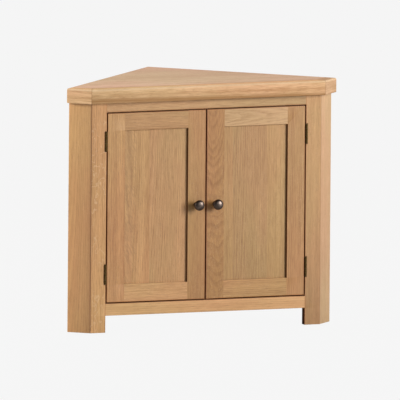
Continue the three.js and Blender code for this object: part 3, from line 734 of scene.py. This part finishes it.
doorArris = {"frame": 0.0015, "panel": 0.0005}
doorBoards = {
    "left_door_hinge_stile": {
        "log": (0.08, 0.13, 0.3), "leanDeg": (0.5, 0.2), "colour": "rosy",
        "brightness": (0.966, 0.904, 0.719)},
    "left_door_meeting_stile": {
        "log": (0.25, 0.06, 0.6), "leanDeg": (0.2, 0.3), "brightness": (0.818, 0.740, 0.560)},
    "left_door_bottom_rail": {
        "grain": "X", "log": (0.15, 0.12, 0.2), "leanDeg": (0.5, 0.6), "brightness": (1.112, 1.081, 1.050)},
    "left_door_top_rail": {
        "grain": "X", "log": (0.12, 0.14, 1.2), "leanDeg": (0.6, 0.4), "brightness": (0.844, 0.829, 0.702)},
    "left_door_panel": {
        "log": (0.05, 0.12, 0.5), "strips": 0.085, "stripStart": 0.35, "leanDeg": (1.0, 0.3),
        "brightness": (0.966, 0.931, 0.844), "lines": [standingShadowLine("left_door_meeting_stile", 0.004, 0.6)],
        "strokes": [{"middle": -0.255, "halfWidth": 0.024, "leanDeg": -28, "strength": 0.4}]},
    "right_door_hinge_stile": {
        "log": (0.1, 0.15, 1.7), "leanDeg": (0.6, 0.1), "colour": "rosy",
        "brightness": (0.838, 0.781, 0.604)},
    "right_door_meeting_stile": {
        "log": (0.01, 0.10, 2.2), "leanDeg": (8.0, 1.5), "wander": 0.035, "ripple": 0.006, "ring": 0.0050,
        "contrast": 1.15, "rays": 0.2, "brightness": (0.741, 0.611, 0.393),
        "lines": [standingShadowLine("right_door_meeting_stile", 0.0042, 0.85)]},
    "right_door_bottom_rail": {
        "grain": "X", "log": (0.1, 0.15, 2.6), "leanDeg": (0.5, 0.6), "brightness": (0.902, 0.849, 0.699)},
    "right_door_top_rail": {
        "grain": "X", "log": (0.0, 0.06, 0.1), "leanDeg": (2.5, 0.4), "colour": "pale",
        "brightness": (0.837, 0.787, 0.729)},
    "right_door_panel": {
        "log": (0.12, 0.12, 1.5), "strips": 0.075, "stripStart": 0.1, "leanDeg": (0.8, 0.3),
        "brightness": (0.841, 0.827, 0.707), "lines": [standingShadowLine("right_door_hinge_stile", 0.004, 0.6)]},
}
# How dark the painted shade on the side faces and the top face of each piece is
doorEdgeShade = {
    "hinge_stile": (0.95, 0.95), "meeting_stile": (0.95, 0.95), "bottom_rail": (0, 0), "top_rail": (0, 0.95),
}
doorWays = [(0, -1, 0), (0, 1, 0)]


def makeDoor(side, sign):
    body = side + "_door"
    doorLow, doorHigh = (corner.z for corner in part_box(body + "_hinge_stile"))
    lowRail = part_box(body + "_bottom_rail")[1].z
    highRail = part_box(body + "_top_rail")[0].z
    gapShadeLines = [gapShadeFringe((0, 0, 1), doorLow), gapShadeFringe((0, 0, 1), doorHigh)]
    railSpans = [(-math.inf, lowRail), (highRail, math.inf)]
    rules = dict.fromkeys(("bottom_rail", "top_rail"), {"ways": doorWays, "rail": True})
    for part, outwards in (("hinge_stile", sign), ("meeting_stile", -sign)):
        outer, inner = sorted((corner.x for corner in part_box(f"{body}_{part}")), reverse=outwards > 0)
        gapShadeLines.append(gapShadeFringe((1, 0, 0), outer))
        rules[part] = {"ways": doorWays, "side": abs(inner), "flush": railSpans}
    for part, stain in doorEdgeShade.items():
        node = f"{body}_{part}"
        board = {**boardDefaults, "paintedEdgeShade": stain, **doorBoards[node]}
        board["lines"] = [*board["lines"], *gapShadeLines]
        piece = easedCopy(node, doorArris["frame"], rules[part])
        finishPiece(piece, body, board["slot"], oakFinish(node, board))
    node = body + "_panel"
    finishPiece(easedCopy(node, doorArris["panel"]), body, "panel_oak",
                oakFinish(node, {**boardDefaults, **doorBoards[node]}))


for side, sign in signs.items():
    makeDoor(side, sign)
print("doors: done")


# Lofted pieces. A shell is its points and faces: quads join ring to ring, and a flat face closes each end.

def loft(rings):
    rings = np.asarray(rings, float)
    count, steps = rings.shape[:2]
    index = np.arange(count * steps).reshape(count, steps)
    here, after = index[:-1], index[1:]
    quads = np.stack((here, np.roll(here, -1, 1), np.roll(after, -1, 1), after), -1).reshape(-1, 4)
    return rings.reshape(-1, 3), quads.tolist() + [index[0, ::-1].tolist(), index[-1].tolist()]


def gather(shells):
    points, faces, count = [], [], 0
    for shellPoints, shellFaces in shells:
        points.append(shellPoints)
        faces += [(np.array(face) + count).tolist() for face in shellFaces]
        count += len(shellPoints)
    return np.concatenate(points), faces


def makePiece(name, shells, body, slot, material, sharpDeg=40):
    points, faces = gather(shells)
    mesh = bpy.data.meshes.new(name)
    mesh.from_pydata(points.tolist(), [], faces)
    work = bmesh.new()
    work.from_mesh(mesh)
    bmesh.ops.recalc_face_normals(work, faces=work.faces)
    piece = placeMesh(name, mesh, work, sharpDeg)
    finishPiece(piece, body, slot, material)
    return piece


# A circle's directions round an axis, cos side + sin other, for each of its angles
def circleRound(axis, steps):
    axis = np.array(axis, float)
    side = np.cross(axis, (1.0, 0.0, 0.0) if runsAlong(2, axis) else (0.0, 0.0, 1.0))
    side /= np.linalg.norm(side)
    angle = np.arange(steps) * 2 * np.pi / steps
    return angle, np.outer(np.cos(angle), side) + np.outer(np.sin(angle), np.cross(axis, side)), axis


# Radius and height rows turned round an axis: centre + radius circle + height axis
def turnedRings(profile, centre, axis, steps):
    angle, circle, axis = circleRound(axis, steps)
    radius, height = np.array(profile, float).T
    return np.array(centre) + radius[:, None, None] * circle + height[:, None, None] * axis


# A smooth curve through the rows of points: each span's cubic takes its slopes from the points beside it
def smoothCurve(points, stepsPerSpan):
    points = np.array(points, float)
    padded = np.concatenate((2 * points[:1] - points[1:2], points, 2 * points[-1:] - points[-2:-1]))
    t = (np.arange(stepsPerSpan) / stepsPerSpan)[None, :, None]
    a, b, c, d = (padded[first:len(padded) - 3 + first, None] for first in range(4))
    spans = b + 0.5 * t * (c - a + t * (2 * a - 5 * b + 4 * c - d + t * (3 * (b - c) + d - a)))
    return np.concatenate((spans.reshape(-1, points.shape[1]), points[-1:]))


# The outline of a cross, as a radius for each angle: an arm's end or an arm's side, whichever is nearer
def crossRadius(angle, arm, half):
    folded = np.mod(angle + np.pi / 4, np.pi / 2) - np.pi / 4
    return np.minimum(arm / np.cos(folded), half / np.maximum(np.abs(np.sin(folded)), 1e-6))


screwCross = {"steps": 24, "floorShare": 0.85}


# A screw: the rows of its shank, then its head by shares of its radius and height, all turned, and a cross
# sunk into the crown
def crossScrew(shape, centre, axis):
    head = [(across * shape["headRadius"], up * shape["headHeight"]) for across, up in shape["headShares"]]
    outer = turnedRings([*shape["shank"], *head], centre, axis, screwCross["steps"])
    angle, circle, along = circleRound(axis, screwCross["steps"])
    cross = crossRadius(angle, shape["arm"], shape["half"])[:, None] * circle
    crown = np.array(centre) + head[-1][1] * along
    floor = crown + screwCross["floorShare"] * cross - shape["sink"] * along
    return loft(np.concatenate((outer, [crown + cross, floor])))


tileShape = {"perSide": 6, "soft": 0.00015, "holeNarrowShare": 0.55, "holeEndShare": 0.25}


# A flat tile with a countersunk hole: its outline and the hole's circle share their angles.
# "to" maps the tile's own across, along and depth to the cupboard's frame.
def piercedTile(halfAcross, halfAlong, thickness, holeRadius, to):
    t = np.arange(tileShape["perSide"]) * 2 / tileShape["perSide"] - 1
    one = np.ones(len(t))
    across = np.concatenate((t, one, -t, -one)) * halfAcross
    along = np.concatenate((-one, t, one, -t)) * halfAlong
    angle = np.arctan2(along, across)
    hole = holeRadius * np.stack((np.cos(angle), np.sin(angle)), -1)
    outline = np.stack((across, along), -1)
    soft = tileShape["soft"]
    layers = ((outline, 0), (outline, thickness - soft), (outline * (1 - soft / halfAcross), thickness),
              (hole, thickness), (hole * tileShape["holeNarrowShare"], thickness * tileShape["holeEndShare"]))
    rings = [to(flat[:, 0], flat[:, 1], np.full(len(flat), depth)) for flat, depth in layers]
    return loft(rings)


# Metals and plastic. The metals are worn in patches.

metalGrain = {
    "patchScale": 90.0, "patchDetail": 3.0, "worn": (0.45, 0.7), "grainScale": 900.0,
    "grainRough": 0.16, "patchRough": 0.1, "bump": 0.12, "bumpDepth": 0.0002,
}
metalShades = {
    "knob_bronze": {
        "colour": (0.105, 0.080, 0.066, 1), "rubbedAndHighlight": (0.20, 0.155, 0.130, 1), "rough": 0.36, "wear": 0.5},
    "hinge_bronze": {
        "colour": (0.105, 0.066, 0.024, 1), "rubbedAndHighlight": (0.17, 0.11, 0.045, 1), "rough": 0.42, "wear": 0.5},
    "zinc": {"colour": (0.62, 0.62, 0.61, 1), "rubbedAndHighlight": (0.72, 0.71, 0.68, 1), "rough": 0.36, "wear": 0.6},
    "dark_steel": {
        "colour": (0.30, 0.30, 0.31, 1), "rubbedAndHighlight": (0.42, 0.42, 0.42, 1), "rough": 0.34, "wear": 0.6},
}
plasticGrain = {
    "colour": (0.075, 0.042, 0.024, 1), "grainScale": 1400.0, "grainLimits": (0.3, 0.7),
    "roughness": (0.42, 0.55), "bump": 0.2, "bumpDepth": 0.0001,
}


def metalFinish(name, grain, shade):
    material, tree, shader = startMaterial(name)
    place = addNode(tree, "TexCoord")["Object"]
    patches = noise(tree, place, grain["patchScale"], grain["patchDetail"])[0]
    fine = noise(tree, place, grain["grainScale"])[0]
    worn = times(tree, remap(tree, patches, *grain["worn"]), shade["wear"])
    smoothest = shade["rough"] - (grain["grainRough"] + grain["patchRough"]) / 2
    rough = timesPlus(tree, patches, grain["patchRough"], smoothest)
    feed(shader, {
        "Base Color": mixColour(tree, worn, shade["colour"], shade["rubbedAndHighlight"]), "Metallic": 1.0,
        "Roughness": timesPlus(tree, fine, grain["grainRough"], rough),
        "Normal": bumped(tree, fine, grain["bump"], grain["bumpDepth"])})
    return material


def plasticFinish(name, grain):
    material, tree, shader = startMaterial(name)
    fine = noise(tree, addNode(tree, "TexCoord")["Object"], grain["grainScale"])[0]
    rough = remap(tree, fine, *grain["grainLimits"], *grain["roughness"])
    feed(shader, {"Base Color": grain["colour"], "Roughness": rough,
                  "Normal": bumped(tree, fine, grain["bump"], grain["bumpDepth"])})
    return material


knobBronze, hingeBronze, zinc, darkSteel = (
    metalFinish(name, metalGrain, shade) for name, shade in metalShades.items())
brownPlastic = plasticFinish("brown_plastic", plasticGrain)


# Knobs: a foot, a slim neck, a cone that spreads to the head, and a dome

knobShape = {
    "shares": (
        (0.51, 0.0), (0.545, 0.02), (0.53, 0.06), (0.42, 0.115), (0.365, 0.19), (0.40, 0.29), (0.53, 0.40),
        (0.74, 0.52), (0.92, 0.615), (1.0, 0.71), (0.97, 0.80), (0.86, 0.88), (0.66, 0.943), (0.40, 0.983),
        (0.16, 0.998), (0.01, 1.0)),
    "stepsPerSpan": 4, "steps": 64, "sharpDeg": 60,
}


def makeKnob(side):
    node, body = side + "_knob", side + "_door"
    low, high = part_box(node)
    curve = smoothCurve(knobShape["shares"], knobShape["stepsPerSpan"])
    profile = np.minimum(curve, 1.0) * ((high.x - low.x) / 2, high.y - low.y)
    centre = ((low.x + high.x) / 2, high.y, (low.z + high.z) / 2)
    shell = loft(turnedRings(profile, centre, (0, -1, 0), knobShape["steps"]))
    piece = makePiece(node + "_turned", [shell], body, "dark_bronze", knobBronze, knobShape["sharpDeg"])
    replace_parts(piece, node)


# The screw from the back of the door into the knob

knobScrewShape = {
    "shankRadius": 0.002, "tipRadius": 0.0004, "tipLength": 0.0015,
    "headRadius": 0.0045, "headHeight": 0.0024,
    "headShares": ((1, 0), (1, 0.35), (0.9, 0.72), (0.7, 0.93), (0.56, 1)),
    "arm": 0.0022, "half": 0.0005, "sink": 0.0013,
}


def makeKnobScrew(side):
    node, shape = side + "_knob_screw", knobScrewShape
    low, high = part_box(node)
    seat = high.y - shape["headHeight"]
    centre = ((low.x + high.x) / 2, seat, (low.z + high.z) / 2)
    grip = seat - low.y
    radius = shape["shankRadius"]
    shank = [(shape["tipRadius"], -grip), (radius, shape["tipLength"] - grip), (radius, 0)]
    shell = crossScrew({**shape, "shank": shank}, centre, (0, 1, 0))
    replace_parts(makePiece(node + "_turned", [shell], side + "_door", "zinc_steel", zinc), node)


for side in signs:
    makeKnob(side)
    makeKnobScrew(side)
print("knobs: done")


# Hinges: leaves with countersunk holes and curled knuckles, a pin with rounded tips, and screws.
# Across is measured from the pin's axis towards the door, and depth from the axis backwards.

hingeShape = {
    "barrel": 0.004, "knuckles": 5, "knuckleGap": 0.0004, "knuckleSoft": 0.0003, "knuckleEndShare": 0.93,
    "thickness": 0.0015, "frameLeafAt": 0.00055, "doorLeafAt": 0.00295, "depthFrom": 0.0044, "depthTo": 0.019,
    "leafHeight": 0.058, "strapOverlap": 0.001, "screws": 3, "holeRadius": 0.0036, "arcSteps": 30,
    "pin": 0.0017, "tip": 0.0039, "tipFrom": 0.0293, "tipHeight": 0.0027, "tipSoft": 0.0011, "tipSteps": 6,
    "pinSteps": 32,
}
hingeScrewShape = {
    "shank": ((0.00204, -0.001), (0.0034, -0.0001)), "headRadius": 0.0034, "headHeight": 0.0002,
    "headShares": ((0.97, 0.3), (0.8, 0.8), (0.62, 1)), "arm": 0.0019, "half": 0.00045, "sink": 0.0007,
}


# A knuckle's section: round the barrel the long way from the strap's near side, then out along the strap
def knuckleOutline(near, far):
    radius = hingeShape["barrel"]
    start = math.acos(near / radius)
    end = 2 * math.pi + (math.acos(far / radius) if far < radius else 0.0)
    angle = np.linspace(start, end, hingeShape["arcSteps"])
    arc = radius * np.stack((np.cos(angle), np.sin(angle)), -1)
    depth = hingeShape["depthFrom"] + hingeShape["strapOverlap"]
    strap = [(far, radius * math.sin(end)), (far, depth), (near, depth)]
    return np.concatenate((arc, strap))


def makeLeaf(side, level, owner):
    shape = hingeShape
    node = f"{side}_{level}_hinge_{owner}_leaf"
    low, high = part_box(f"{side}_{level}_hinge_pin")
    axisX, axisY, axisZ = (low + high) / 2
    facing = -signs[side]
    near = shape[owner + "LeafAt"]
    far = near + shape["thickness"]
    shells = []

    length = (shape["leafHeight"] - (shape["knuckles"] - 1) * shape["knuckleGap"]) / shape["knuckles"]
    outline = knuckleOutline(near, far)
    soft, endShare = shape["knuckleSoft"], shape["knuckleEndShare"]
    for number in range(0 if owner == "frame" else 1, shape["knuckles"], 2):
        bottom = axisZ - shape["leafHeight"] / 2 + number * (length + shape["knuckleGap"])
        top = bottom + length
        ends = ((endShare, bottom), (1, bottom + soft), (1, top - soft), (endShare, top))
        shells.append(loft([np.stack((axisX + facing * share * outline[:, 0], axisY + share * outline[:, 1],
                                      np.full(len(outline), height)), -1) for share, height in ends]))

    hidden, outwards = (near, 1) if owner == "frame" else (far, -1)
    middleDepth = axisY + (shape["depthFrom"] + shape["depthTo"]) / 2
    halfHeight = shape["leafHeight"] / shape["screws"] / 2
    screws = []
    for number in range(shape["screws"]):
        height = axisZ + (2 * number - shape["screws"] + 1) * halfHeight
        shells.append(piercedTile(
            (shape["depthTo"] - shape["depthFrom"]) / 2, halfHeight, shape["thickness"], shape["holeRadius"],
            lambda across, along, depth: np.stack(
                (axisX + facing * (hidden + outwards * depth), middleDepth + across, height + along), -1)))
        crown = (axisX + facing * (hidden + outwards * shape["thickness"]), middleDepth, height)
        screws.append(crossScrew(hingeScrewShape, crown, (facing * outwards, 0, 0)))
    body = "carcass" if owner == "frame" else side + "_door"
    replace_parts(makePiece(node + "_shaped", shells, body, "dark_bronze", hingeBronze), node)
    makePiece(node + "_screws", screws, body, "dark_bronze", hingeBronze)


def makeHingePin(side, level):
    shape = hingeShape
    node = f"{side}_{level}_hinge_pin"
    low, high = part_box(node)
    turn = np.linspace(0, np.pi / 2, shape["tipSteps"])
    soft = shape["tipSoft"]
    crown = np.array((shape["tip"] - soft, shape["tipFrom"] + shape["tipHeight"] - soft))
    crown = crown + soft * np.stack((np.cos(turn), np.sin(turn)), -1)
    upper = np.concatenate(([(shape["pin"], shape["tipFrom"]), (shape["tip"], shape["tipFrom"])], crown))
    lower = upper[::-1] * (1, -1)
    rings = turnedRings(np.concatenate((lower, upper)), (low + high) / 2, (0, 0, 1), shape["pinSteps"])
    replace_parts(makePiece(node + "_turned", [loft(rings)], "carcass", "dark_bronze", hingeBronze), node)


for side in signs:
    for level in levels:
        makeLeaf(side, level, "frame")
        makeLeaf(side, level, "door")
        makeHingePin(side, level)
print("hinges: done")


# Catches, strike plates and shelf pins

catchShape = {
    "soft": 0.0007, "poleWidth": 0.024, "poleHeight": 0.002, "poleDepth": 0.004, "poleSoft": 0.0001,
    "poleGap": 0.0032, "proud": 0.0002, "lugThickness": 0.003, "lugHole": 0.0215,
}
catchScrewShape = {
    "shank": ((0.0017, -0.002), (0.0017, 0)), "headRadius": 0.0034, "headHeight": 0.0014,
    "headShares": ((1, 0), (1, 0.4), (0.88, 0.8), (0.6, 1)), "arm": 0.0018, "half": 0.00045, "sink": 0.0009,
}
strikeHole = 0.0022
strikeScrewShape = {
    "shank": ((0.00105, -0.0004), (0.0021, -0.0001)), "headRadius": 0.0021, "headHeight": 0.0001,
    "headShares": ((0.8, 1), (0.65, 1)), "arm": 0.0012, "half": 0.0003, "sink": 0.0004,
}
shelfPinSoft = 0.0004


# A block between two corners, its arrises rounded by drawing in the first and last rings
def softBlock(low, high, soft):
    low, high = np.array(low, float), np.array(high, float)
    corners = np.array(((0, 0), (1, 0), (1, 1), (0, 1)), float)
    rings = []
    for inset, height in ((soft, low[2]), (0, low[2] + soft), (0, high[2] - soft), (soft, high[2])):
        flat = low[:2] + inset + corners * (high[:2] - low[:2] - 2 * inset)
        rings.append(np.column_stack((flat, np.full(4, height))))
    return loft(rings)


def makeCatch(side):
    node, shape = side + "_magnetic_catch", catchShape
    finishPiece(easedCopy(node, shape["soft"]), "carcass", "brown_plastic", brownPlastic)
    low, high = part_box(node)
    middleX, bodyHigh = (low.x + high.x) / 2, high.z - shape["lugThickness"]
    halfWidth, halfHeight = shape["poleWidth"] / 2, shape["poleHeight"] / 2
    poles, screws = [], []
    for sign in signs.values():
        height = (low.z + bodyHigh) / 2 + sign * shape["poleGap"]
        poles.append(softBlock(
            (middleX - halfWidth, low.y - shape["proud"], height - halfHeight),
            (middleX + halfWidth, low.y + shape["poleDepth"], height + halfHeight), shape["poleSoft"]))
        seat = (middleX + sign * shape["lugHole"], (low.y + high.y) / 2, bodyHigh)
        screws.append(crossScrew(catchScrewShape, seat, (0, 0, -1)))
    makePiece(side + "_catch_poles", poles, "carcass", "zinc_steel", darkSteel)
    makePiece(side + "_catch_screws", screws, "carcass", "zinc_steel", zinc)


def makeStrike(side):
    node, body = side + "_strike_plate", side + "_door"
    low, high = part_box(node)
    quarter, thickness = (high.x - low.x) / 4, high.y - low.y
    middleX, middleZ = (low.x + high.x) / 2, (low.z + high.z) / 2
    plate, screws = [], []
    for sign in signs.values():
        centreX = middleX + sign * quarter
        plate.append(piercedTile(
            quarter, (high.z - low.z) / 2, thickness, strikeHole,
            lambda across, along, depth: np.stack((centreX - across, low.y + depth, middleZ + along), -1)))
        screws.append(crossScrew(strikeScrewShape, (centreX, high.y, middleZ), (0, 1, 0)))
    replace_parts(makePiece(node + "_pierced", plate, body, "zinc_steel", zinc), node)
    makePiece(node + "_screws", screws, body, "zinc_steel", zinc)


for side in signs:
    makeCatch(side)
    makeStrike(side)
    for end in ("front", "rear"):
        finishPiece(easedCopy(f"{side}_{end}_shelf_pin", shelfPinSoft), "carcass", "zinc_steel", zinc)
print("catches and pins: done")
